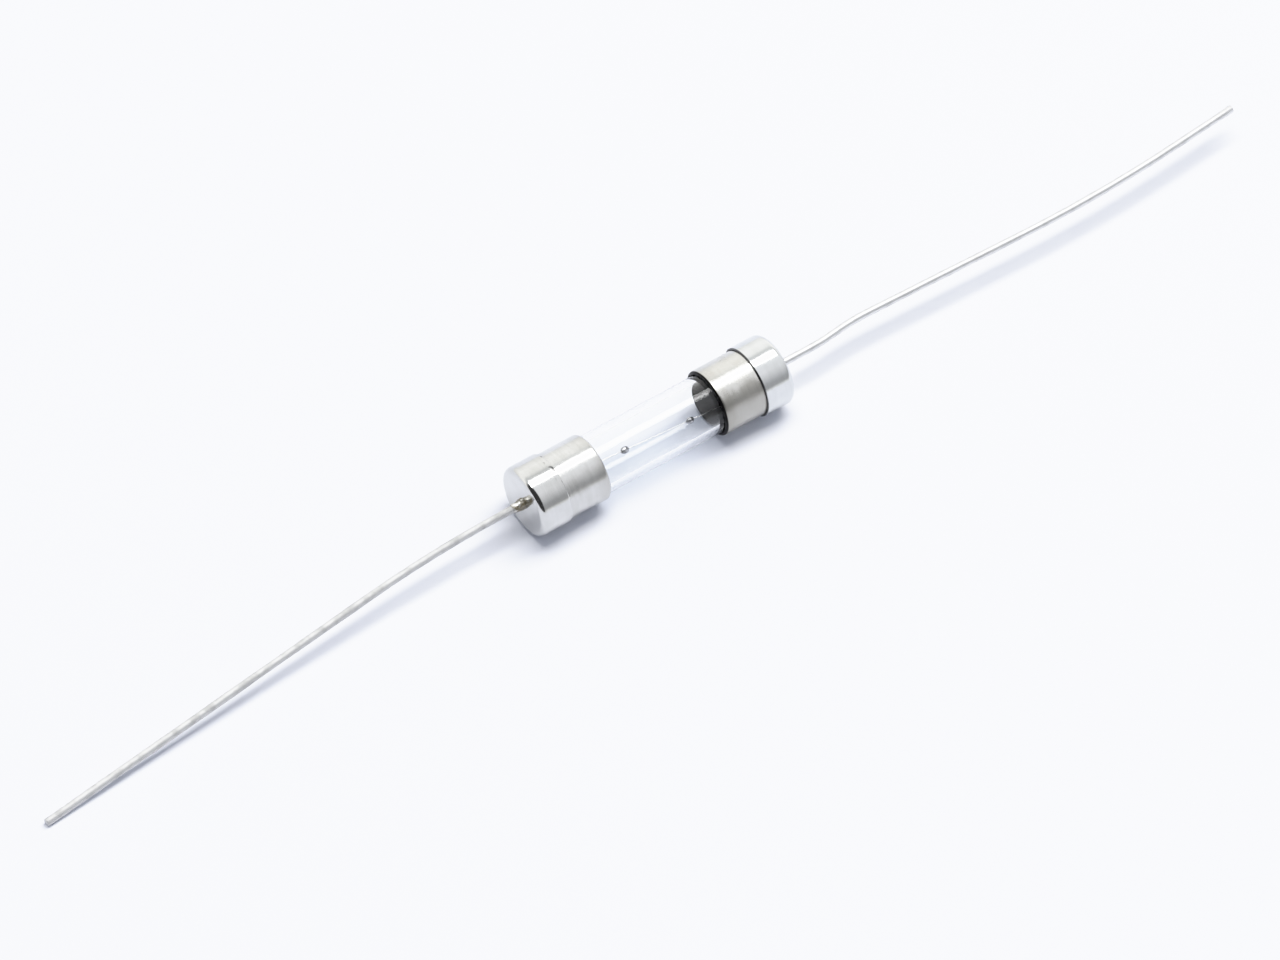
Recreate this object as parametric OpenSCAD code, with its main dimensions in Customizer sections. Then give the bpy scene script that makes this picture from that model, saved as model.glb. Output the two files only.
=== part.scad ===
// Glass cartridge fuse with axial wire leads.
// X runs along the fuse, from the left lead to the right lead, and Z is up.
// The origin is the middle of the glass tube, on its axis.
// The fuse lies on a level surface: both lead caps and the tip of the left lead touch it.

/* [Glass tube] */
// Outside diameter of the glass tube
glass_d = 4.6; // [4:0.1:8]
// Wall thickness of the glass tube
glass_wall = 0.55; // [0.3:0.05:1]
// Length of the glass tube
glass_length = 19; // [14:0.5:36]

/* [End caps] */
// Gap all round between the glass and an end cap
glass_gap = 0.05; // [0.02:0.01:0.2]
// Wall and floor thickness of an end cap
end_cap_wall = 0.25; // [0.15:0.05:0.5]
// Length of an end cap, from its rim to its outer face
end_cap_length = 5; // [3:0.25:6.5]
// Radius of an end cap's outer edge
end_cap_round = 0.3; // [0.1:0.05:0.6]

/* [Lead caps] */
// Gap all round between an end cap and the lead cap pressed over it
lead_cap_gap = 0.02; // [0.01:0.01:0.1]
// Wall thickness of a lead cap
lead_cap_wall = 0.14; // [0.1:0.01:0.3]
// Floor thickness of a lead cap
lead_cap_floor = 0.3; // [0.15:0.05:0.6]
// Length of a lead cap, from its rim to its outer face
lead_cap_length = 2.5; // [1.5:0.25:4]
// Radius of a lead cap's outer edge
lead_cap_round = 0.45; // [0.2:0.05:0.8]

/* [Leads] */
// Diameter of the lead wire
wire_d = 0.6; // [0.4:0.05:1]
// Diameter of the flat head that holds a lead inside its lead cap
head_d = 2.4; // [1.5:0.1:4]
// Thickness of a lead's head
head_thickness = 0.5; // [0.2:0.05:1]
// Gap all round between a lead and the hole in its lead cap
lead_hole_gap = 0.03; // [0.01:0.01:0.1]
// Length of the straight stretch at the left lead's tip
left_tip_length = 28.4; // [10:0.2:40]
// Length of the straight stretch at the right lead's tip
right_tip_length = 5.6; // [2:0.2:20]

/* [Solder] */
// Thickness of the solder between an end cap and a lead's head
head_solder_thickness = 0.17; // [0.05:0.01:0.4]
// Diameter of the solder between an end cap and a lead's head
head_solder_d = 3.2; // [1.5:0.1:4]
// Thickness of the solder between the glass and an end cap's floor
plug_flange = 0.25; // [0.1:0.05:0.5]
// Depth that the solder plug reaches into the glass tube
plug_depth = 0.8; // [0.4:0.1:2]
// Gap all round between the solder plug and the metal or glass it set against
plug_gap = 0.02; // [0.01:0.01:0.1]
// Depth of the hollow in the solder plug's inner face
plug_dish = 0.2; // [0.1:0.05:0.3]
// Width of the solder fillet's foot round a lead, where the lead leaves its lead cap
fillet_width = 0.25; // [0.1:0.05:0.7]
// Length of the solder fillet along the lead
fillet_length = 0.9; // [0.3:0.1:2]

/* [Fuse element] */
// Diameter of the fuse element wire
element_d = 0.06; // [0.03:0.01:0.2]
// Diameter of a solder bead on the fuse element
bead_d = 0.5; // [0.3:0.05:0.8]
// Length of a solder bead along the fuse element
bead_length = 0.7; // [0.4:0.05:1]
// Distance of the left bead from the middle of the fuse
left_bead_offset = 2.25; // [1:0.25:4]
// Distance of the right bead from the middle of the fuse
right_bead_offset = 3.25; // [1:0.25:4]

/* [Hidden] */

// Radii, from the inside out
wire_r = wire_d / 2;
glass_r = glass_d / 2;
bore_r = glass_r - glass_wall;
end_cap_inner_r = glass_r + glass_gap;
end_cap_r = end_cap_inner_r + end_cap_wall;
lead_cap_inner_r = end_cap_r + lead_cap_gap;
lead_cap_r = lead_cap_inner_r + lead_cap_wall;

// Distances from the middle of the fuse to the faces across its axis
glass_end = glass_length / 2;
end_cap_floor = glass_end + plug_flange;
end_cap_end = end_cap_floor + end_cap_wall;
head_start = end_cap_end + head_solder_thickness;
head_end = head_start + head_thickness;
lead_cap_end = head_end + lead_cap_floor;
plug_start = glass_end - plug_depth;

// The fuse element runs straight, a little askew: its ends are [Y, Z] at each solder plug
element_end = (plug_start + end_cap_floor) / 2;
element_left = [0.25, 0.25];
element_right = [-0.6, -0.6];

// The left lead leaves its lead cap straight, then bends once, down and towards -Y.
// The bend is the one that brings the tip this far to the side and down to the surface.
left_straight = 1.5;
left_bend_r = 110;
left_side = 2.87;
left_drop = lead_cap_r - wire_r;
left_reach = norm([left_side, left_drop]);
left_bend = atan2(left_bend_r, left_tip_length)
  + asin((left_reach - left_bend_r) / norm([left_tip_length, left_bend_r]));
left_turn = 180 + atan2(left_drop, left_side);

// A lead's route is rows of straight length, then bend radius, bend angle, and the way
// that the bend turns: 0 is towards +Y and 180 is towards -Y. The last row has no bend.
left_route = [[left_straight, left_bend_r, left_bend, left_turn], [left_tip_length, 0, 0, 0]];
right_route = [[3.3, 12, 6.5, 0], [1.3, 18, 8.3, 180], [13.4, 115, 7.2, 0], [right_tip_length, 0, 0, 0]];
// The wire draws thinner by this much in a bend, and its bends run this far into the
// straights, so that the surfaces cross cleanly
bend_neck = 0.002;
bend_bite = 0.1;

// How much each cut runs past the face it opens
past = 1;
body_fn = 128;
wire_fn = 48;
bend_fn = 720;

// Turns a profile drawn as [radius, distance along X] round the X axis
module turned(fn = body_fn) {
  rotate([0, 90, 0]) rotate_extrude($fn = fn) children();
}

module rod(start, length, r, fn = body_fn) {
  translate([start, 0, 0]) rotate([0, 90, 0]) cylinder(h = length, r = r, $fn = fn);
}

// A disc's profile from start to end, with its edge at end rounded
module rounded_profile(start, end, r, edge) {
  difference() {
    translate([0, start]) square([r, end - start]);
    difference() {
      translate([r - edge, end - edge]) square(edge + past);
      translate([r - edge, end - edge]) circle(r = edge, $fn = body_fn);
    }
  }
}

// Straight rods joined by round bends. Each bend ends a little inside the next rod.
module bent_wire(route, row = 0) {
  length = route[row][0];
  bend_r = route[row][1];
  bend = route[row][2];
  turn = route[row][3];
  rod(0, length, wire_r, wire_fn);
  if (row < len(route) - 1) {
    bite = asin(bend_bite / bend_r);
    translate([length, 0, 0]) rotate([turn, 0, 0]) {
      translate([0, bend_r, 0]) rotate([0, 0, -90 - bite])
        rotate_extrude(angle = bend + 2 * bite, $fn = bend_fn)
          translate([bend_r, 0]) circle(r = wire_r - bend_neck, $fn = wire_fn);
      translate([bend_r * sin(bend), bend_r * (1 - cos(bend)), 0])
        rotate([0, 0, bend]) rotate([-turn, 0, 0]) bent_wire(route, row + 1);
    }
  }
}

// A cup with a square inner corner, so its outer edge can be no rounder than its wall allows
module end_cap() {
  rim = end_cap_end - end_cap_length;
  edge = min(end_cap_round, 3 * end_cap_wall);
  difference() {
    turned() rounded_profile(rim, end_cap_end, end_cap_r, edge);
    rod(rim - past, end_cap_floor - rim + past, end_cap_inner_r);
  }
}

// A drawn cup, round inside its corner as well, with a hole for the lead in its floor
module lead_cap() {
  rim = lead_cap_end - lead_cap_length;
  inner_round = max(lead_cap_round - lead_cap_wall, 0.05);
  difference() {
    turned() rounded_profile(rim, lead_cap_end, lead_cap_r, lead_cap_round);
    turned() rounded_profile(rim - past, head_end, lead_cap_inner_r, inner_round);
    rod(head_start, lead_cap_end - head_start + past, wire_r + lead_hole_gap, wire_fn);
  }
}

// The wire starts inside its head, so the two are one solid
module lead(route) {
  rod(head_start, head_thickness, head_d / 2);
  rod(head_start + head_thickness / 2, lead_cap_end - head_end + head_thickness, wire_r, wire_fn);
  translate([lead_cap_end, 0, 0]) bent_wire(route);
}

// A cone of solder round the lead, down to a thin edge at its outer end
module lead_solder() {
  edge = 0.03;
  translate([lead_cap_end, 0, 0]) turned() polygon([
    [wire_r, 0],
    [wire_r + fillet_width, 0],
    [wire_r + edge, fillet_length],
    [wire_r, fillet_length]
  ]);
}

module head_solder() {
  rod(end_cap_end, head_solder_thickness, head_solder_d / 2);
}

// Solder that fills an end cap's floor and a short way of the glass bore, with a dished face
module plug_solder() {
  dish_r = bore_r - 2 * plug_gap;
  sphere_r = (dish_r * dish_r + plug_dish * plug_dish) / (2 * plug_dish);
  difference() {
    union() {
      rod(plug_start, end_cap_floor - plug_start, bore_r - plug_gap);
      rod(glass_end, plug_flange, end_cap_inner_r - plug_gap);
    }
    translate([plug_start + plug_dish - sphere_r, 0, 0]) sphere(r = sphere_r, $fn = body_fn);
  }
}

// Lays its children, drawn along X, on the fuse element's line, at a distance along the fuse
module on_element(x) {
  share = (x + element_end) / (2 * element_end);
  slope = (element_right - element_left) / (2 * element_end);
  place = element_left + (element_right - element_left) * share;
  translate([x, place[0], place[1]])
    rotate([0, -atan(slope[1]), atan(slope[0])]) children();
}

module element_wire(d) {
  on_element(0) rod(-element_end, 2 * element_end, d / 2, wire_fn);
}

// A bead is a short barrel that narrows towards both ends, with the wire through its bore
module bead(x) {
  half = bead_length / 2;
  neck = element_d;
  on_element(x) turned() polygon([
    [element_d / 2, -half],
    [neck, -half],
    [bead_d / 2, -half / 3],
    [bead_d / 2, half / 3],
    [neck, half],
    [element_d / 2, half]
  ]);
}

module glass_tube() {
  color("lightcyan", 0.4) difference() {
    rod(-glass_end, glass_length, glass_r);
    rod(-glass_end - past, glass_length + 2 * past, bore_r);
  }
}

module left_end_cap() {
  color("gainsboro") mirror([1, 0, 0]) end_cap();
}

module right_end_cap() {
  color("gainsboro") end_cap();
}

module left_lead_cap() {
  color("silver") mirror([1, 0, 0]) lead_cap();
}

module right_lead_cap() {
  color("silver") lead_cap();
}

module left_lead() {
  color("lightgray") mirror([1, 0, 0]) lead(left_route);
}

module right_lead() {
  color("lightgray") lead(right_route);
}

module left_lead_solder() {
  color("rosybrown") mirror([1, 0, 0]) lead_solder();
}

module right_lead_solder() {
  color("darkgray") lead_solder();
}

module left_head_solder() {
  color("darkgray") mirror([1, 0, 0]) head_solder();
}

module right_head_solder() {
  color("darkgray") head_solder();
}

module left_plug_solder() {
  color("darkgray") difference() {
    mirror([1, 0, 0]) plug_solder();
    element_wire(element_d);
  }
}

module right_plug_solder() {
  color("darkgray") difference() {
    plug_solder();
    element_wire(element_d);
  }
}

module fuse_element() {
  color("dimgray") element_wire(element_d);
}

module left_bead() {
  color("slategray") bead(-left_bead_offset);
}

module right_bead() {
  color("slategray") bead(right_bead_offset);
}

glass_tube();
left_end_cap();
right_end_cap();
left_lead_cap();
right_lead_cap();
left_lead();
right_lead();
left_lead_solder();
right_lead_solder();
left_head_solder();
right_head_solder();
left_plug_solder();
right_plug_solder();
fuse_element();
left_bead();
right_bead();
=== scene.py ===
# %% [markdown]
# # A glass cartridge fuse with a wire lead at each end
# The fuse is a glass tube closed by two nickel-plated end caps. A thin fuse element with two solder
# beads runs through the tube. Over each end cap sits a second, shorter cap that carries a soldered lead.
# The CAD frame holds every size. This file keeps those sizes and adds what a CAD model leaves out: rounded
# and slightly dented sheet metal, drawn glass, wetted solder, and the finish of each metal.

# %% Load the CAD frame
import math

import bmesh
import bpy
from mathutils import Matrix, Vector


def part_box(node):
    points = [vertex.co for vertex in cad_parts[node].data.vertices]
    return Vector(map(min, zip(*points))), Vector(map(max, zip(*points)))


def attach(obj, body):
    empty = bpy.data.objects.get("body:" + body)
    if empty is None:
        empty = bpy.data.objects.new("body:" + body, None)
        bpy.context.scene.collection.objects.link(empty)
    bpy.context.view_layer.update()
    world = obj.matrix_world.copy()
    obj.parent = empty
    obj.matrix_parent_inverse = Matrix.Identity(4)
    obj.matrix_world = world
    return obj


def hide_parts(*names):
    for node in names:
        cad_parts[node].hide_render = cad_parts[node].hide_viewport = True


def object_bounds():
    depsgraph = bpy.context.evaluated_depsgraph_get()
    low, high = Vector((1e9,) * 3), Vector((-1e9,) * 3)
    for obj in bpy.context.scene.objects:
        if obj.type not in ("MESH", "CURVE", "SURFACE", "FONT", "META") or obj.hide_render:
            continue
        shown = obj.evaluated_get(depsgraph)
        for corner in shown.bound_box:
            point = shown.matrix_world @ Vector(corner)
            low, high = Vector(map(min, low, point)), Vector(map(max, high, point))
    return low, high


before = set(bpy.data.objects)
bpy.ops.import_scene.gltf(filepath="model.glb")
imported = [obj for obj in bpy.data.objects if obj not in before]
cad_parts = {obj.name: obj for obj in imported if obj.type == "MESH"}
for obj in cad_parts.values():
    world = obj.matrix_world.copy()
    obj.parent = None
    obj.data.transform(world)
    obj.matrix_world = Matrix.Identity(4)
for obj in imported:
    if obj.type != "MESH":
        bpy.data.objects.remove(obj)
cad_low, cad_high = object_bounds()
MM = 0.001


def span(node):
    """Lowest and highest corner of a CAD node, in millimetres."""
    low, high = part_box(node)
    return low / MM, high / MM


print("CAD box in mm:", [round(v / MM, 2) for v in cad_low], [round(v / MM, 2) for v in cad_high])

# %% [markdown]
# ## The camera
# A small object is shown from well back with a long lens, so that its two ends have almost the same scale.
# The camera could be placed by its coordinates. It is placed here by the turn and height that it looks
# from, since those are what a person behind it chooses. It stands to the left and looks down steeply.

# %% Camera
camera_turn = math.radians(-34.63)
camera_rise = math.radians(51.90)
camera_distance = 569.8
aim_point = Vector((-2.86, -2.98, 0))
towards_camera = Vector((
    math.sin(camera_turn) * math.cos(camera_rise),
    -math.cos(camera_turn) * math.cos(camera_rise),
    math.sin(camera_rise),
))
bpy.ops.object.select_all(action="DESELECT")
bpy.ops.object.camera_add(
    location=(aim_point + towards_camera * camera_distance) * MM,
    rotation=towards_camera.to_track_quat("Z", "Y").to_euler(),
)
camera = bpy.context.object
camera.name = "camera"
camera.data.lens = 225
camera.data.sensor_width = 36
camera.data.clip_start = 10 * MM
camera.data.clip_end = 20
bpy.context.scene.camera = camera
print("camera at", [round(v, 4) for v in camera.location])

# %% [markdown]
# ### Exposure
# A white table is usually exposed until it is nearly burnt out. A plain view would cut it off at pure white
# and lose the edges of the shadows. A tone curve with a soft shoulder does what film does: middle greys
# stay as they are, and everything brighter is pressed together just below white.

# %% Exposure
shoulder = [(0, 0), (0.7, 0.7), (0.95, 0.88), (1.22, 0.962), (1.6, 0.988), (3, 1)]
view = bpy.context.scene.view_settings
view.view_transform = "Standard"
view.use_curve_mapping = True
tone = view.curve_mapping
tone.clip_max_x = shoulder[-1][0]
curve = tone.curves[3]
curve.points[0].location = shoulder[0]
curve.points[1].location = shoulder[-1]
for place in shoulder[1:-1]:
    curve.points.new(*place)
tone.update()
print("shoulder has", len(curve.points), "points")

# %% [markdown]
# ## Arithmetic on shader sockets
# A finish is mostly arithmetic: this noise times that mask, one minus the edge. Each step could be a Math
# node made by hand. A small class that wraps a socket does it better, because `1 - mask` then reads like
# the sum it is, and adds the same Math node.

# %% The class that wraps a socket
class Shade:
    """One output of a shader node. A sum on it adds a Math node to the same tree."""

    def __init__(self, tree, socket=None):
        self.tree = tree
        self.socket = socket

    def node(self, kind, settings=None, sockets=None, output=0):
        """Adds a node from its type, its settings, and the values or links of its sockets."""
        made = self.tree.nodes.new("ShaderNode" + kind)
        for name, value in (settings or {}).items():
            if name == "stops":
                while len(made.color_ramp.elements) < len(value):
                    made.color_ramp.elements.new(1)
                for stop, (place, colour) in zip(made.color_ramp.elements, value):
                    stop.position = place
                    stop.color = (*colour, 1)
            else:
                setattr(made, name, value)
        for key, value in (sockets or {}).items():
            if isinstance(value, Shade):
                self.tree.links.new(value.socket, made.inputs[key])
            else:
                made.inputs[key].default_value = value
        return Shade(self.tree, made.outputs[output])

    def other(self, name):
        """Another output of the same node."""
        return Shade(self.tree, self.socket.node.outputs[name])

    def math(self, operation, *values):
        """A Math node on this socket and the values."""
        terms = dict(enumerate((self, *values)))
        return self.node("Math", {"operation": operation}, terms)

    def __add__(self, value):
        return self.math("ADD", value)

    def __sub__(self, value):
        return self.math("SUBTRACT", value)

    def __mul__(self, value):
        return self.math("MULTIPLY", value)

    def __truediv__(self, value):
        return self.math("DIVIDE", value)

    def __rsub__(self, value):
        return (self * -1) + value

    __radd__ = __add__
    __rmul__ = __mul__

    def rise(self, low, high):
        """0 below low and 1 above high, with a soft step between."""
        ends = {"Value": self, "From Min": low, "From Max": high}
        return self.node("MapRange", {"interpolation_type": "SMOOTHSTEP"}, ends)

    def mix(self, first, second):
        """A colour that goes from the first to the second as this value goes from 0 to 1."""
        return self.node(
            "Mix",
            {"data_type": "RGBA"},
            {"Factor": self, 6: first, 7: second},
            output=2,
        )


print("sums on shader sockets are ready")

# %% [markdown]
# ## The studio
# Bright metal shows its surroundings more than its own colour, so the studio is part of the finish. The
# fuse lies on a white table in a white room. A person stands at the left in front and is dark, and the
# wall behind that person is dimmer than the wall behind the fuse. Two lamps hang overhead. The softbox is
# narrow and is only mirrored, so it draws the bright band on each cap. The key lamp is wide and only lights
# the table, so the shadows are soft. One lamp could do both, but then a band of the right width would come
# with shadows that are too hard. The walls are dimmer where they light the table, or they would fill its
# shadows, and past the table a view shows plain white. The room could be built from panels, but panels
# would stand in the way of other views. A world shader that knows only directions hides nothing.

# %% Table
table_z = cad_low.z
bpy.ops.object.select_all(action="DESELECT")
bpy.ops.mesh.primitive_plane_add(size=6, location=(0, 0, table_z))
table = bpy.context.object
table.name = "table"
table_paint = bpy.data.materials.new("table_paint")
table_paint.use_nodes = True
paint = table_paint.node_tree.nodes["Principled BSDF"]
paint.inputs["Base Color"].default_value = (0.78, 0.79, 0.84, 1)
paint.inputs["Roughness"].default_value = 0.9
paint.inputs["Specular IOR Level"].default_value = 0.1
table.data.materials.append(table_paint)
print("table at z", round(table_z / MM, 2), "mm")

# %% Walls and ceiling
white_wall = 1.27
room = bpy.data.worlds.new("room")
bpy.context.scene.world = room
room.use_nodes = True
room.node_tree.nodes.clear()
start = Shade(room.node_tree)
ray = start.node("TexCoord", output="Generated")
along = start.node("SeparateXYZ", sockets={0: ray})
across = along.other("Y")
up = along.other("Z")
turn = up.math("ARCTAN2", 0 - across) * (180 / math.pi)
LOW_TURN = -10
HIGH_TURN = 190
place = (turn - LOW_TURN) / (HIGH_TURN - LOW_TURN)
wall_levels = [
    (-10, 0.90, 0.91, 0.93),
    (1, 0.88, 0.89, 0.91),
    (8, 0.33, 0.335, 0.35),
    (20, 0.34, 0.35, 0.37),
    (40, 0.61, 0.62, 0.65),
    (58, 0.83, 0.84, 0.88),
    (84, 0.86, 0.88, 0.92),
    (106, 0.80, 0.82, 0.84),
    (115, 0.55, 0.57, 0.58),
    (126, 1.02, 1.02, 1.01),
    (150, 1.15, 1.15, 1.14),
    (170, 0.98, 0.98, 0.97),
    (182, 0.84, 0.85, 0.86),
]
stops = [((angle - LOW_TURN) / (HIGH_TURN - LOW_TURN), colour) for angle, *colour in wall_levels]
walls = start.node("ValToRGB", {"stops": stops}, {0: place})
onlooker = Vector((-0.75, -0.60, 0.35)).normalized()
facing = start.node(
    "VectorMath",
    {"operation": "DOT_PRODUCT"},
    {0: ray, 1: onlooker},
    output="Value",
)
shadow_side = facing.rise(0.50, 0.66) * up.rise(0.02, 0.06)
dark = (0.035, 0.035, 0.037, 1)
seen_in_metal = shadow_side.mix(walls, dark)
front_light = (across * -0.5 + 0.5).mix((0.15, 0.16, 0.19, 1), (0.36, 0.39, 0.46, 1))
for_table = start.node("LightPath", output="Is Diffuse Ray")
colour = for_table.mix(seen_in_metal, front_light)
plain_white = (0.95, 0.965, 0.99, 1)
from_camera = start.node("LightPath", output="Is Camera Ray")
colour = from_camera.mix(colour, plain_white)
light = start.node("Background", sockets={"Color": colour, "Strength": white_wall})
out = room.node_tree.nodes.new("ShaderNodeOutputWorld")
room.node_tree.links.new(light.socket, out.inputs["Surface"])
print("room has", len(room.node_tree.nodes), "nodes")

# %% Lamps overhead
LAMP_HEIGHT = 1.2
LAMP_LENGTH = 1.4


def strip_lamp(name, first, last, middle, glow):
    """A rectangle overhead that lies along X round x = middle and spans the turns first to last."""
    near_side = LAMP_HEIGHT * math.tan(math.radians(first - 90))
    far_side = LAMP_HEIGHT * math.tan(math.radians(last - 90))
    bpy.ops.object.select_all(action="DESELECT")
    bpy.ops.object.light_add(
        type="AREA",
        location=(middle, (near_side + far_side) / 2, LAMP_HEIGHT),
    )
    lamp = bpy.context.object
    lamp.name = name
    lamp.data.shape = "RECTANGLE"
    lamp.data.size = LAMP_LENGTH
    lamp.data.size_y = far_side - near_side
    lamp.data.energy = glow * math.pi * lamp.data.size * lamp.data.size_y
    lamp.visible_camera = False
    print(name, round(lamp.data.size_y, 3), "m wide,", round(lamp.data.energy, 2), "W")
    return lamp


softbox = strip_lamp("softbox", 87.5, 106, middle=0.1, glow=7.2)
softbox.visible_diffuse = False
key = strip_lamp("key", 79, 108, middle=0.42, glow=8.9)
key.visible_glossy = False
key.visible_transmission = False

# %% [markdown]
# ## Finishes
# Every finish starts from one Principled shader and from the position on the fuse in millimetres, so that a
# noise of scale 2 has two features to the millimetre on every piece. A picture of scratches could be
# wrapped on each piece, but noise stretched along one direction draws the same lines at any size.

# %% A bare finish and its position
def new_finish(name):
    """A material with one Principled shader. Gives the material, its shader and the position in mm."""
    finish = bpy.data.materials.new(name)
    finish.use_nodes = True
    shader = finish.node_tree.nodes["Principled BSDF"]
    start = Shade(finish.node_tree)
    place = start.node("TexCoord", output="Object")
    place = start.node("VectorMath", {"operation": "SCALE"}, {0: place, "Scale": 1 / MM}, output="Vector")
    return finish, shader, place


def feed(shader, **values):
    """Sets or links the shader's sockets; Base_Color stands for Base Color."""
    for key, value in values.items():
        socket = shader.inputs[key.replace("_", " ")]
        if isinstance(value, Shade):
            value.tree.links.new(value.socket, socket)
        else:
            socket.default_value = value


def noise(place, scale, stretch=(1, 1, 1), detail=3, seed=0):
    """Noise from 0 to 1 with scale features to the millimetre, squeezed by stretch along each axis."""
    moved = place.node(
        "Mapping",
        sockets={"Vector": place, "Location": (seed * 7.3, seed * 3.1, seed * 5.7), "Scale": stretch},
    )
    return place.node("TexNoise", sockets={"Vector": moved, "Scale": scale, "Detail": detail})


def bump(height, depth, under=None):
    """Turns a height from 0 to 1 into a normal; depth is in millimetres."""
    sockets = {"Height": height, "Distance": depth * MM, "Strength": 1}
    if under is not None:
        sockets["Normal"] = under
    return height.node("Bump", sockets=sockets)


print("finishes work in mm")

# %% [markdown]
# ### Clear glass
# The tube is drawn soda glass: clear, with very shallow lines along its length from the drawing. Glass in a
# path tracer blocks lamps and throws a black shadow, where real glass lets most light through. Rays that
# light the table therefore meet a nearly clear surface instead, with a faint blue tint.

# %% Glass finish
def glass_finish():
    finish, shader, place = new_finish("clear_glass")
    drawn = noise(place, 3, stretch=(0.02, 1, 1), detail=2)
    tint = drawn.mix((0.97, 0.985, 0.99, 1), (1, 1, 1, 1))
    feed(shader, Base_Color=tint, Roughness=0.0, IOR=1.42, Normal=bump(drawn, 0.0015))
    shader.inputs["Transmission Weight"].default_value = 1
    surface = shader.outputs["BSDF"]
    clear = place.node("BsdfTransparent", sockets={"Color": (0.90, 0.91, 0.925, 1)})
    is_shadow = place.node("LightPath", output="Is Shadow Ray")
    from_table = place.node("LightPath", output="Is Diffuse Ray")
    both = place.node("MixShader", sockets={0: is_shadow + from_table, 2: clear})
    tree = finish.node_tree
    tree.links.new(surface, both.socket.node.inputs[1])
    tree.links.new(both.socket, tree.nodes["Material Output"].inputs["Surface"])
    return finish


clear_glass = glass_finish()
print("made", clear_glass.name)

# %% [markdown]
# ### Nickel plating
# The caps are drawn brass cups with bright nickel plating. Tumbling in bulk leaves soft scuffs, and handling
# leaves fine scratches. Near-black painted shade covers the inside of each cup, the lip at the mouth of each
# right-hand cap, and patches along the top of the left lead cap's rim. The end caps also get a warm grey
# painted shade on the side that faces the front, strongest on the right one, and in patches near their
# mouths. The lead caps are bright. Four separate materials could be made by hand, but they share their
# scuffs, so one function makes them all.

# %% Plating finish
RIDGE_DEPTH = 0.06
GRAIN_DEPTH = 0.02
SPECK_DEPTH = 0.006
# The side that gets warm grey painted shade faces the front, tilted up this far.
SHADED_SIDE_TILT = math.radians(12)
# Warm grey painted shade, for the side that faces the front and for patches near the mouth.
PAINTED_SHADE = (0.33, 0.318, 0.285, 1)
# Near black: painted shade inside the cups, on lips at the mouth and in gaps along the rim.
PAINTED_DEEP_SHADE = (0.011, 0.010, 0.010, 1)


def radius_from_axis(place):
    """Distance from the fuse's long axis, in millimetres."""
    flat = place.node("VectorMath", {"operation": "MULTIPLY"}, {0: place, 1: (0, 1, 1)}, output="Vector")
    return place.node("VectorMath", {"operation": "LENGTH"}, {0: flat}, output="Value")


def plating_finish(
    name,
    bright,
    stained,
    gloss,
    scuffs,
    inner_radius,
    mouth,
    film=0.0,
    mouth_shade=0.0,
    rim_gap_shade=0.0,
    lip=0.0,
    lip_shade=0.0,
):
    """film is how much warm grey painted shade darkens the side that faces the front, from 0 to 1, and the
    argument after it does the same in patches near the mouth. The one after that is how dark the near-black
    painted shade is in patches along the top of the rim. The mouth is at x = mouth on either end of the fuse.
    Its lip is painted near black as shade by the part given last, as far as lip from the edge."""
    finish, shader, place = new_finish(name)
    cloud = noise(place, 0.9, detail=4).rise(0.35, 0.7)
    rings = noise(place, 3.5, stretch=(1, 0.10, 0.10), detail=4, seed=3).rise(0.3, 0.75)
    grain = noise(place, 9, stretch=(0.35, 1, 1), detail=4)
    fine = noise(place, 28, detail=3, seed=1)
    radius = radius_from_axis(place)
    outside = (cloud * 0.5 + rings * 0.5).mix(bright, stained)
    front = place.node(
        "VectorMath",
        {"operation": "DOT_PRODUCT"},
        {0: place, 1: (0, -math.cos(SHADED_SIDE_TILT), math.sin(SHADED_SIDE_TILT))},
        output="Value",
    )
    edge = noise(place, 1.1, stretch=(1, 0.6, 0.6), detail=5, seed=2)
    along = place.node("SeparateXYZ", sockets={0: place}, output="X").math("ABSOLUTE") - mouth
    # Painted shade on the side that faces the front, with a ragged edge.
    shaded_front = (front / radius + edge * 0.5 - 0.25).rise(0.62, 0.86) * film
    # Painted shade in patches near the mouth, fading out over 1.5 mm from it.
    shaded_mouth = (1 - along.rise(0, 1.5)) * edge * mouth_shade
    outside = (shaded_front + shaded_mouth).mix(outside, PAINTED_SHADE)
    height = place.node("SeparateXYZ", sockets={0: place}, output="Z") / radius
    # Painted shade: near-black patches along the top of the rim, close to the mouth.
    rim_top_band = height.rise(0.80, 0.90) * (1 - along.rise(0.15, 0.45))
    dents = noise(place, 2.6, stretch=(1, 0.8, 0.8), detail=2, seed=8).rise(0.54, 0.60) * rim_top_band
    outside = (dents * rim_gap_shade).mix(outside, PAINTED_DEEP_SHADE)
    # Painted shade: near black on the lip, as far as lip from the mouth's edge, and on the inside of the cup.
    shaded_lip = (1 - along.rise(lip - 0.06, lip)) * lip_shade
    shown = radius.rise(inner_radius - 0.01, inner_radius + 0.05) * (1 - shaded_lip)
    colour = shown.mix(PAINTED_DEEP_SHADE, outside)
    rough = (cloud * 0.4 + rings * 0.2 + grain * 0.8) * scuffs + gloss
    rough = rough + (1 - shown) * 0.2 + shaded_front * 0.1
    feed(shader, Base_Color=colour, Metallic=1.0, Roughness=rough)
    ridges = bump(rings, RIDGE_DEPTH * scuffs)
    grained = bump(grain, GRAIN_DEPTH * scuffs, under=ridges)
    feed(shader, Normal=bump(fine, SPECK_DEPTH * scuffs, under=grained))
    return finish


# The warm grey painted shade and the near-black painted shade.
print("dull film", PAINTED_SHADE[:3], "and tarnish", PAINTED_DEEP_SHADE[:3])

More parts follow.
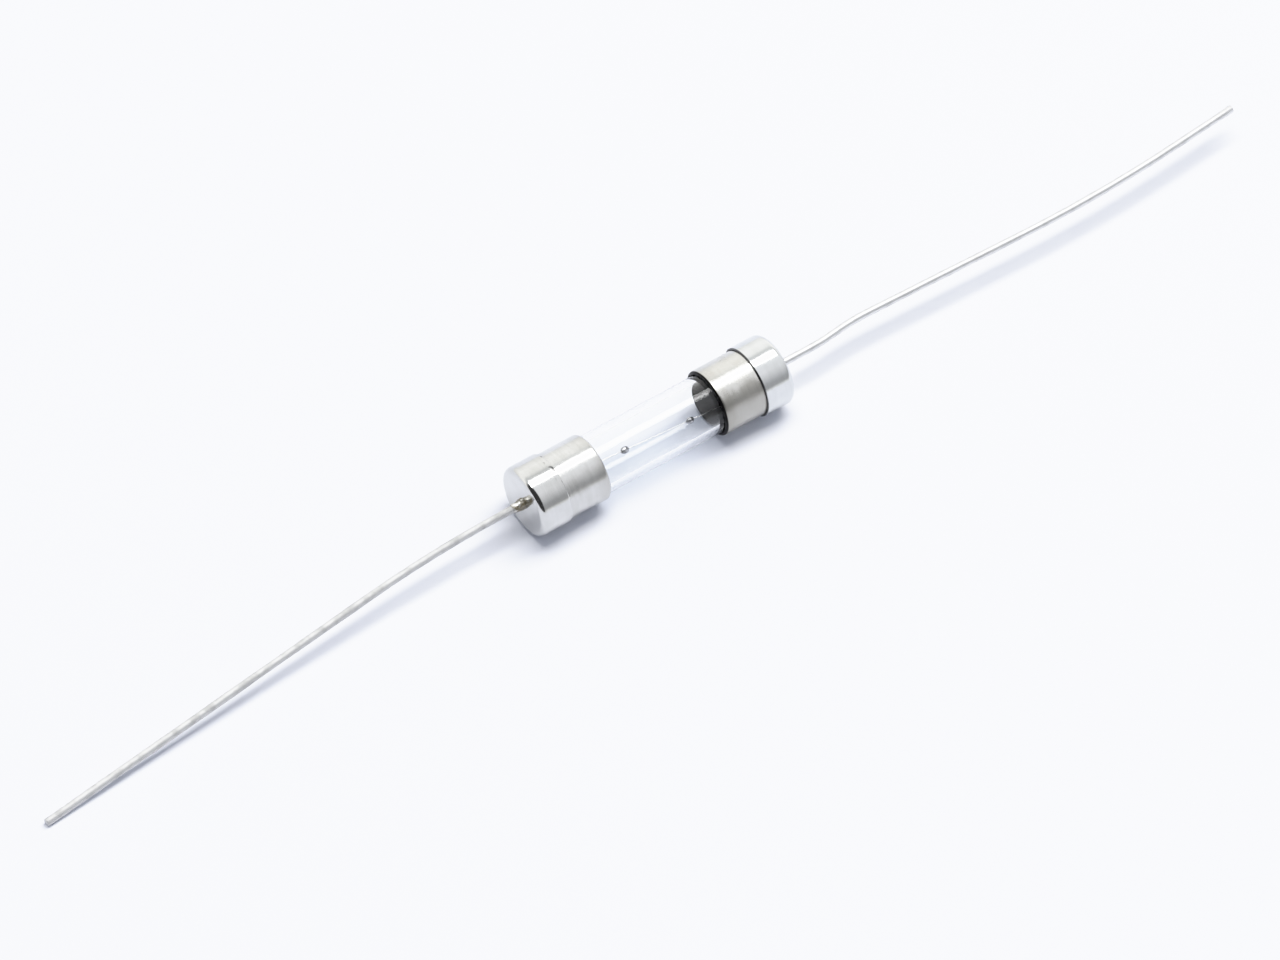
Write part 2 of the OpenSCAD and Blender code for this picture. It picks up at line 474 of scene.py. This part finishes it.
# %% Four platings
end_cap_wall = 0.25
lead_cap_wall = 0.14
end_cap_low, end_cap_high = span("right_end_cap")
lead_cap_low, lead_cap_high = span("right_lead_cap")
bright_end_cap = plating_finish(
    "bright_end_cap",
    bright=(0.66, 0.66, 0.645, 1),
    stained=(0.56, 0.56, 0.54, 1),
    gloss=0.12,
    scuffs=0.12,
    inner_radius=end_cap_high.y - end_cap_wall,
    mouth=end_cap_low.x,
    film=0.20,
    mouth_shade=0.6,
)
# The right end cap: strong painted shade on its front side, and its lip painted near black as shade.
filmed_end_cap = plating_finish(
    "filmed_end_cap",
    bright=(0.62, 0.615, 0.585, 1),
    stained=(0.55, 0.54, 0.50, 1),
    gloss=0.16,
    scuffs=0.14,
    inner_radius=end_cap_high.y - end_cap_wall,
    mouth=end_cap_low.x,
    film=0.72,
    mouth_shade=0.5,
    lip=0.17,
    lip_shade=1.0,
)
# The left lead cap: near-black painted shade in patches along the top of its rim.
left_lead_plating = plating_finish(
    "left_lead_cap_plating",
    bright=(0.625, 0.625, 0.61, 1),
    stained=(0.555, 0.555, 0.535, 1),
    gloss=0.09,
    scuffs=0.06,
    inner_radius=0,
    mouth=lead_cap_low.x,
    rim_gap_shade=0.8,
)
# The right lead cap: its lip at the mouth is painted near black as shade.
right_lead_plating = plating_finish(
    "right_lead_cap_plating",
    bright=(0.67, 0.68, 0.675, 1),
    stained=(0.61, 0.62, 0.61, 1),
    gloss=0.10,
    scuffs=0.07,
    inner_radius=0,
    mouth=lead_cap_low.x,
    lip=0.10,
    lip_shade=0.88,
)
print("made", bright_end_cap.name, filmed_end_cap.name, left_lead_plating.name, right_lead_plating.name)

# %% [markdown]
# ### Tinned wire
# The leads are copper wire with a tin coat. Drawing through a die leaves faint lines along the wire, and
# the tin is a little uneven. The left lead has been handled more and has gone dull. The lines could be cut
# into the wire as grooves, but they are finer than its facets, so a bump draws them.

# %% Wire finish
def wire_finish(name, bright, dull, rough):
    finish, shader, place = new_finish(name)
    lines = noise(place, 14, stretch=(0.03, 1, 1), detail=3)
    patches = noise(place, 1.2, detail=3, seed=2).rise(0.4, 0.7)
    feed(shader, Base_Color=patches.mix(bright, dull), Metallic=1.0)
    feed(shader, Roughness=patches * 0.12 + lines * 0.08 + rough)
    feed(shader, Normal=bump(patches, 0.004, under=bump(lines, 0.003)))
    return finish


bright_wire = wire_finish("bright_wire", (0.69, 0.69, 0.68, 1), (0.59, 0.59, 0.58, 1), 0.28)
dull_wire = wire_finish("dull_wire", (0.64, 0.64, 0.635, 1), (0.57, 0.57, 0.565, 1), 0.64)
element_wire = wire_finish("element_wire", (0.78, 0.77, 0.74, 1), (0.62, 0.60, 0.56, 1), 0.2)
print("made", bright_wire.name, dull_wire.name, element_wire.name)

# %% [markdown]
# ### Solder and flux
# Solder cools with a satin skin that is finely pitted. At the root of the left lead the flux was left to
# burn: a brown, glassy film lies over the solder in patches that grow towards the cap. The film could be a
# thin shell of its own. As part of the finish it follows every dent of the solder.

# %% Solder finishes
def solder_finish(name, bright, dull, rough, lumps):
    finish, shader, place = new_finish(name)
    wave = noise(place, 3, detail=4, seed=3)
    pits = noise(place, 22, detail=3, seed=4)
    feed(shader, Base_Color=wave.rise(0.35, 0.65).mix(bright, dull), Metallic=1.0)
    feed(shader, Roughness=wave * 0.2 + rough)
    feed(shader, Normal=bump(pits, 0.003, under=bump(wave, lumps)))
    return finish


def flux_finish(name, face):
    """Solder with burnt flux on it, which gets thicker towards the cap's face at x = face."""
    finish, shader, place = new_finish(name)
    wave = noise(place, 3.0, detail=4, seed=5)
    from_face = place.node("SeparateXYZ", sockets={0: place}, output="X").math("ABSOLUTE") - face
    film = (wave - from_face * 0.18).rise(0.29, 0.42)
    burnt = noise(place, 6, detail=3, seed=6).mix((0.06, 0.048, 0.025, 1), (0.26, 0.22, 0.14, 1))
    tin = (0.62, 0.61, 0.57, 1)
    feed(shader, Base_Color=film.mix(tin, burnt), Metallic=1 - film)
    feed(shader, Roughness=0.40 - film * 0.12, Coat_Weight=film * 0.4)
    feed(shader, Normal=bump(wave, 0.04))
    return finish


solder = solder_finish("solder", (0.70, 0.70, 0.69, 1), (0.52, 0.52, 0.52, 1), 0.24, 0.03)
root_solder = solder_finish("root_solder", (0.50, 0.50, 0.49, 1), (0.14, 0.135, 0.125, 1), 0.30, 0.03)
bead_solder = solder_finish("bead_solder", (0.48, 0.48, 0.49, 1), (0.06, 0.06, 0.065, 1), 0.18, 0.05)
fluxed_solder = flux_finish("fluxed_solder", lead_cap_high.x)
print("made", solder.name, root_solder.name, bead_solder.name, fluxed_solder.name)

# %% [markdown]
# ## Tools for shaping
# Each piece starts as a primitive of about its size. In edit mode its faces and edges are picked by where
# they are, as a hand would click them, and then inset, extruded or bevelled. Clicks can't be written down,
# but the places of the corners can, so that is how the picks are told apart.

# %% Open a primitive and pick on it
AROUND = 96


def open_piece(name, primitive, **shape):
    """Adds a primitive, puts its place into its mesh, and opens it in edit mode with nothing picked."""
    bpy.ops.object.select_all(action="DESELECT")
    primitive(**shape)
    piece = bpy.context.object
    piece.name = name
    piece.data.name = name
    bpy.ops.object.transform_apply(location=True, rotation=True, scale=True)
    bpy.ops.object.mode_set(mode="EDIT")
    bpy.ops.mesh.select_all(action="DESELECT")
    return piece


def pick(kind, where, facing=None):
    """Picks the vertices, edges or faces whose corners all pass the test where, given in mm."""
    bpy.ops.mesh.select_mode(type=kind)
    bpy.ops.mesh.select_all(action="DESELECT")
    mesh = bmesh.from_edit_mesh(bpy.context.object.data)
    items = {"VERT": mesh.verts, "EDGE": mesh.edges, "FACE": mesh.faces}[kind]
    count = 0
    for item in items:
        corners = [item] if kind == "VERT" else item.verts
        turned = facing is None or item.normal.dot(facing) > 0.9
        if turned and all(where(corner.co / MM) for corner in corners):
            item.select = True
            count += 1
    mesh.select_flush_mode()
    bmesh.update_edit_mesh(bpy.context.object.data)
    return count


def off_axis(point):
    """Distance of a point from the long axis."""
    return math.hypot(point.y, point.z)


def near(value, goal, slack=0.01):
    return abs(value - goal) < slack


print("circles have", AROUND, "sides")

# %% Close a piece and hand it over
def close_piece(piece, finish, crease=35):
    """Merges doubles, turns the faces outwards, leaves edit mode and smooths all but sharp edges."""
    bpy.ops.mesh.select_all(action="SELECT")
    bpy.ops.mesh.remove_doubles(threshold=0.0005 * MM)
    bpy.ops.mesh.normals_make_consistent(inside=False)
    bpy.ops.object.mode_set(mode="OBJECT")
    bpy.ops.object.shade_smooth_by_angle(angle=math.radians(crease))
    piece.data.materials.clear()
    piece.data.materials.append(finish)
    print(piece.name, len(piece.data.polygons), "faces")


def stand_in(piece, node):
    """The piece rides on the fuse and stands for its CAD node, which is hidden."""
    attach(piece, "root")
    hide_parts(node)


print("pieces can be closed and handed over")

# %% [markdown]
# ## The glass tube
# The tube is cut from long drawn stock, and its ends are melted smooth in a flame. An open cylinder gets its
# wall from a Solidify modifier, which grows inwards so that the outside keeps the CAD size. A small bevel on
# the four end edges is the flame polish. Rings are cut along the tube, because smooth shading would spread
# the roundness of the ends over the whole length if its faces ran from end to end.

# %% Pick rings and staves
def pick_ring(x, *radii):
    """Picks the edges that lie on circles of these radii round the long axis, at x."""
    bpy.ops.mesh.select_mode(type="EDGE")
    bpy.ops.mesh.select_all(action="DESELECT")
    mesh = bmesh.from_edit_mesh(bpy.context.object.data)
    for edge in mesh.edges:
        first, second = (corner.co / MM for corner in edge.verts)
        level = near(first.x, x) and near(second.x, x)
        edge.select = level and any(near(off_axis(first), r) and near(off_axis(second), r) for r in radii)
    bmesh.update_edit_mesh(bpy.context.object.data)


def pick_staves(length):
    """Picks the edges that run along the axis for more than this length, like the joints of a barrel."""
    bpy.ops.mesh.select_mode(type="EDGE")
    bpy.ops.mesh.select_all(action="DESELECT")
    mesh = bmesh.from_edit_mesh(bpy.context.object.data)
    for edge in mesh.edges:
        first, second = edge.verts
        edge.select = abs(first.co.x - second.co.x) > length * MM
    bmesh.update_edit_mesh(bpy.context.object.data)


print("edges round the axis are rings, and edges along it are staves")

# %% Glass tube
glass_low, glass_high = span("glass_tube")
glass_wall = 0.55
flame_polish = 0.16
tube_rings = 38
tube = open_piece(
    "glass_tube_drawn",
    bpy.ops.mesh.primitive_cylinder_add,
    vertices=AROUND,
    radius=glass_high.y * MM,
    depth=(glass_high.x - glass_low.x) * MM,
    end_fill_type="NOTHING",
    rotation=(0, math.pi / 2, 0),
)
bpy.ops.object.mode_set(mode="OBJECT")
wall = tube.modifiers.new("wall", "SOLIDIFY")
wall.thickness = glass_wall * MM
wall.offset = -1
bpy.ops.object.modifier_apply(modifier="wall")
bpy.ops.object.mode_set(mode="EDIT")
for end in (glass_low.x, glass_high.x):
    pick_ring(end, glass_high.y, glass_high.y - glass_wall)
    bpy.ops.mesh.bevel(offset=flame_polish * MM, segments=4, profile=0.5, affect="EDGES")
pick_staves(glass_high.x)
bpy.ops.mesh.subdivide(number_cuts=tube_rings)
close_piece(tube, clear_glass, crease=60)
stand_in(tube, "glass_tube")

# %% [markdown]
# ## Cups
# Both kinds of cap are deep-drawn cups: a disc of brass pressed into a die, so the closed end has rounded
# edges and the mouth is trimmed. A cylinder becomes a cup by hand moves. The mouth face is inset by the wall
# and extruded inwards, the closed edge gets its round by a bevel, and a cap for a lead has a hole bridged
# through its floor. Rings cut along the wall let it be dented afterwards.

# %% One cup, closed at its right end
BURR_ROUND = 0.03
FLOOR_RINGS = (1.2, 0.7)


def cup(name, node, wall, floor, outer_round, inner_round, lip, rings, hole=None):
    """lip is how far the outside edge of the mouth is rounded; its inside edge keeps a small burr round."""
    low, high = span(node)
    radius = high.y
    mouth = low.x
    closed = high.x
    seat = closed - floor
    piece = open_piece(
        name,
        bpy.ops.mesh.primitive_cylinder_add,
        vertices=AROUND,
        radius=radius * MM,
        depth=(closed - mouth) * MM,
        location=((mouth + closed) / 2 * MM, 0, 0),
        rotation=(0, math.pi / 2, 0),
    )
    pick("FACE", lambda p: near(p.x, mouth), facing=Vector((-1, 0, 0)))
    bpy.ops.mesh.inset(thickness=wall * MM)
    bpy.ops.mesh.extrude_region_move(TRANSFORM_OT_translate={"value": ((seat - mouth) * MM, 0, 0)})
    if hole:
        for side, edge_round in ((seat, inner_round), (closed, outer_round)):
            facing = Vector((-1 if side == seat else 1, 0, 0))
            reach = radius - (wall if side == seat else 0)
            pick("FACE", lambda p: near(p.x, side), facing=facing)
            for ring in (reach - edge_round - 0.05, *FLOOR_RINGS, hole):
                bpy.ops.mesh.inset(thickness=(reach - ring) * MM)
                reach = ring
        pick("FACE", lambda p: off_axis(p) < hole + 0.01)
        bpy.ops.mesh.bridge_edge_loops()
    pick_ring(closed, radius)
    bpy.ops.mesh.bevel(offset=outer_round * MM, segments=8, profile=0.5, affect="EDGES")
    pick_ring(seat, radius - wall)
    bpy.ops.mesh.bevel(offset=inner_round * MM, segments=5, profile=0.5, affect="EDGES")
    pick_ring(mouth, radius)
    bpy.ops.mesh.bevel(offset=lip * MM, segments=6, profile=0.5, affect="EDGES")
    pick_ring(mouth, radius - wall)
    bpy.ops.mesh.bevel(offset=BURR_ROUND * MM, segments=3, profile=0.5, affect="EDGES")
    pick_staves((closed - mouth) * 0.5)
    bpy.ops.mesh.subdivide(number_cuts=rings)
    return piece


print("a cup has", len(FLOOR_RINGS), "rings on its floor")

# %% Copy and dent
def copy_of(piece, name, turned):
    """A copy with its own mesh, turned about the upright axis by that many degrees."""
    bpy.ops.object.select_all(action="DESELECT")
    bpy.context.view_layer.objects.active = piece
    piece.select_set(True)
    bpy.ops.object.duplicate(linked=False)
    twin = bpy.context.object
    twin.name = name
    twin.data.name = name
    twin.rotation_euler.z = math.radians(turned)
    bpy.ops.object.transform_apply(location=True, rotation=True, scale=True)
    return twin


def dent(piece, size, depth):
    """Pushes the surface in and out by up to half the depth, in soft bumps of about this size."""
    cloud = bpy.data.textures.new(piece.name + "_handling", "CLOUDS")
    cloud.noise_scale = size * MM
    cloud.noise_depth = 1
    displace = piece.modifiers.new("handling", "DISPLACE")
    displace.texture = cloud
    displace.texture_coords = "LOCAL"
    displace.strength = depth * MM
    displace.mid_level = 0.5
    bpy.ops.object.select_all(action="DESELECT")
    bpy.context.view_layer.objects.active = piece
    piece.select_set(True)
    bpy.ops.object.modifier_apply(modifier="handling")


print("copies are turned about Z, and dents come from a cloud")

# %% End caps
right_end_cap = cup(
    "right_end_cap_cup",
    "right_end_cap",
    wall=end_cap_wall,
    floor=end_cap_wall,
    outer_round=0.30,
    inner_round=0.05,
    lip=0.22,
    rings=24,
)
close_piece(right_end_cap, filmed_end_cap)
left_end_cap = copy_of(right_end_cap, "left_end_cap_cup", 180)
left_end_cap.data.materials[0] = bright_end_cap
dent(right_end_cap, 1.6, 0.02)
dent(left_end_cap, 1.6, 0.02)
stand_in(right_end_cap, "right_end_cap")
stand_in(left_end_cap, "left_end_cap")

# %% Lead caps
lead_cap_floor = 0.30
lead_cap_round = 0.45
wire_radius = 0.30
lead_hole_gap = 0.03
right_lead_cap = cup(
    "right_lead_cap_cup",
    "right_lead_cap",
    wall=lead_cap_wall,
    floor=lead_cap_floor,
    outer_round=lead_cap_round,
    inner_round=lead_cap_round - lead_cap_wall,
    lip=0.09,
    hole=wire_radius + lead_hole_gap,
    rings=14,
)
close_piece(right_lead_cap, right_lead_plating)
left_lead_cap = copy_of(right_lead_cap, "left_lead_cap_cup", 180)
left_lead_cap.data.materials[0] = left_lead_plating
dent(right_lead_cap, 1.8, 0.012)
dent(left_lead_cap, 1.8, 0.012)
stand_in(right_lead_cap, "right_lead_cap")
stand_in(left_lead_cap, "left_lead_cap")

# %% [markdown]
# ## The leads
# A lead is solder-dipped copper wire with one end upset into a flat head, like a nail, so that it can't pull
# out of its cap. It is made here as a wire former makes it. The head is a disc, the wire is extruded from the
# middle of its face, and each bend is spun round the centre of its former. A cloud displacement afterwards
# puts back the slight waviness of wire that comes off a reel.

# %% Sizes of the wire
WIRE_SIDES = 24
STRAIGHT_STEP = 1.5
head_radius = 1.20
head_thickness = 0.50
print("wire", 2 * wire_radius, "mm thick, head", 2 * head_radius, "mm wide")

# %% Bend a wire
def push(step):
    """Extrudes the picked face by a step in mm."""
    bpy.ops.mesh.extrude_region_move(TRANSFORM_OT_translate={"value": step * MM})


def lead(name, cap, side, route):
    """side is 1 for the right lead and -1 for the left one. Each step of the route lists a straight length,
    a bend radius, the bend's angle and the turn of its plane about the wire, with lengths in mm."""
    face = span(cap)[1].x if side > 0 else -span(cap)[0].x
    under_head = face - lead_cap_floor - head_thickness
    heading = Vector((side, 0, 0))
    sideways = Vector((0, 1, 0))
    piece = open_piece(
        name,
        bpy.ops.mesh.primitive_circle_add,
        vertices=WIRE_SIDES,
        radius=head_radius * MM,
        fill_type="NGON",
        location=(side * under_head * MM, 0, 0),
        rotation=(0, math.pi / 2, 0),
    )
    bpy.ops.mesh.select_all(action="SELECT")
    push(heading * head_thickness)
    bpy.ops.mesh.inset(thickness=(head_radius - wire_radius) * MM)
    push(heading * lead_cap_floor)
    at = Vector((side * face, 0, 0))
    for straight, radius, angle, turn in route:
        steps = max(1, round(straight / STRAIGHT_STEP))
        for _ in range(steps):
            push(heading * (straight / steps))
        at += heading * straight
        if angle == 0:
            continue
        upright = heading.cross(sideways) * side
        tilt = math.radians(turn)
        inwards = sideways * math.cos(tilt) + upright * math.sin(tilt)
        axle = heading.cross(inwards)
        centre = at + inwards * radius
        sweep = Matrix.Rotation(math.radians(angle), 3, axle)
        bpy.ops.mesh.spin(
            steps=max(4, round(angle)),
            angle=-math.radians(angle),
            center=centre * MM,
            axis=axle,
        )
        at = centre + sweep @ (at - centre)
        heading = sweep @ heading
        sideways = sweep @ sideways
    return piece, [round(value, 2) for value in at]


def finish_lead(piece, node, finish):
    """Rounds the cut end a little, closes the piece and adds the waviness of wire off a reel."""
    cut_end_round = 0.07
    bpy.ops.mesh.bevel(offset=cut_end_round * MM, segments=3, profile=0.5, affect="EDGES")
    close_piece(piece, finish, crease=50)
    dent(piece, 2.5, 0.05)
    stand_in(piece, node)


print("a route is walked from the head outwards")

# %% Both leads
right_route = [(3.3, 12, 6.5, 0), (1.3, 18, 8.3, 180), (13.4, 115, 7.2, 0), (5.6, 0, 0, 0)]
right_wire, tip = lead("right_lead_wire", "right_lead_cap", 1, right_route)
finish_lead(right_wire, "right_lead", bright_wire)
print("right lead ends at", tip)
left_route = [(1.5, 110, 6.299, 220.6), (28.4, 0, 0, 0)]
left_wire, tip = lead("left_lead_wire", "left_lead_cap", -1, left_route)
finish_lead(left_wire, "left_lead", dull_wire)
print("left lead ends at", tip)

# %% [markdown]
# ## The solder at the leads
# Molten solder climbs a wire and pulls itself into a hollow cone. On the right only a low skirt of it shows
# outside the cap. On the left more was fed in, and it froze as an uneven sleeve. A cone would do from afar.
# Here a disc is extruded in steps while its radius follows the hollow curve, and then it is roughened. Both
# lead caps have their faces at the same distance from the middle, so one face serves both sides.

# %% Grow a skirt
SKIRT_STEPS = 12
FEATHER = 0.02


def skirt(name, side, face, foot, height, hollow):
    """A hollow-sided cone of solder that stands on a cap's face and closes round the wire."""
    piece = open_piece(
        name,
        bpy.ops.mesh.primitive_circle_add,
        vertices=32,
        radius=foot * MM,
        fill_type="NGON",
        location=(side * face * MM, 0, 0),
        rotation=(0, math.pi / 2, 0),
    )
    bpy.ops.mesh.select_all(action="SELECT")
    top = wire_radius + FEATHER
    radius = foot
    for step in range(1, SKIRT_STEPS + 1):
        part = step / SKIRT_STEPS
        goal = top + (foot - top) * (1 - part) ** hollow
        push(Vector((side * height / SKIRT_STEPS, 0, 0)))
        centre = (side * (face + height * part) * MM, 0, 0)
        bpy.ops.transform.resize(value=(goal / radius,) * 3, center_override=centre)
        radius = goal
    return piece


print("a skirt grows in", SKIRT_STEPS, "steps")

# %% Both skirts
right_skirt = skirt("right_solder_skirt", 1, lead_cap_high.x, foot=0.52, height=0.55, hollow=2.2)
close_piece(right_skirt, root_solder, crease=60)
dent(right_skirt, 0.25, 0.05)
stand_in(right_skirt, "right_lead_solder")
left_skirt = skirt("left_solder_skirt", -1, lead_cap_high.x, foot=0.43, height=0.90, hollow=1.4)
close_piece(left_skirt, fluxed_solder, crease=60)
dent(left_skirt, 0.3, 0.12)
stand_in(left_skirt, "left_lead_solder")

# %% [markdown]
# ## The fuse element and its beads
# The element is a hair-thin wire that runs slantwise from one end to the other. Two beads of low-melting
# solder sit on it, so that a long overload melts it there. The beads are drops that froze on the wire: round
# in the middle, drawn out at both ends and a bit lopsided. A turned profile would be smooth all round. Here
# a ball is stretched along the wire and pinched ring by ring, and then dented.

# %% Element
element_start = Vector((-9.225, 0.25, 0.25))
element_end = Vector((9.225, -0.60, -0.60))
element_line = element_end - element_start
element_turn = element_line.to_track_quat("Z", "Y").to_euler()
element_radius = 0.03
element = open_piece(
    "element_hair_wire",
    bpy.ops.mesh.primitive_circle_add,
    vertices=12,
    radius=element_radius * MM,
    fill_type="NGON",
    location=element_start * MM,
    rotation=element_turn,
)
bpy.ops.mesh.select_all(action="SELECT")
element_steps = 60
for _ in range(element_steps):
    push(element_line / element_steps)
close_piece(element, element_wire, crease=60)
dent(element, 3, 0.05)
stand_in(element, "fuse_element")

# %% Shape a bead
bead_length = 0.70
bead_diameter = 0.50
BEAD_RINGS = 24


def bead(name, node, x, lean):
    """A drop on the element at x; lean shifts its thick middle along the wire."""
    part = (x - element_start.x) / element_line.x
    middle = element_start + element_line * part
    along = element_line.normalized()
    piece = open_piece(
        name,
        bpy.ops.mesh.primitive_uv_sphere_add,
        segments=40,
        ring_count=BEAD_RINGS,
        radius=bead_diameter / 2 * MM,
        location=middle * MM,
        rotation=element_turn,
    )
    bpy.ops.mesh.select_all(action="SELECT")
    stretch = bead_length / bead_diameter
    bpy.ops.transform.resize(value=(stretch, 1, 1), center_override=middle * MM)
    for ring in range(1, BEAD_RINGS):
        place = math.cos(math.pi * ring / BEAD_RINGS)
        centre = middle + along * place * bead_length / 2
        pick("VERT", lambda p: near((p - centre).dot(along), 0, 0.004))
        pinch = 0.87 + 0.13 * math.cos(math.pi * (place - lean))
        bpy.ops.transform.resize(value=(1, pinch, pinch), center_override=centre * MM)
    close_piece(piece, bead_solder, crease=70)
    dent(piece, 0.22, 0.05)
    stand_in(piece, node)


print("a bead is pinched on", BEAD_RINGS - 1, "rings")

# %% Both beads
bead("left_bead_drop", "left_bead", -2.25, -0.12)
bead("right_bead_drop", "right_bead", 3.25, 0.10)

# %% [markdown]
# ## The solder inside the caps
# Solder also fills the space behind each lead's head and each end of the tube. It is out of sight, so the
# CAD solids stay as they are and only take the solder's finish.

# %% Finish for the hidden solder
for node in ("left_head_solder", "right_head_solder", "left_plug_solder", "right_plug_solder"):
    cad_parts[node].material_slots[0].material = solder
    print(node, "takes", solder.name)
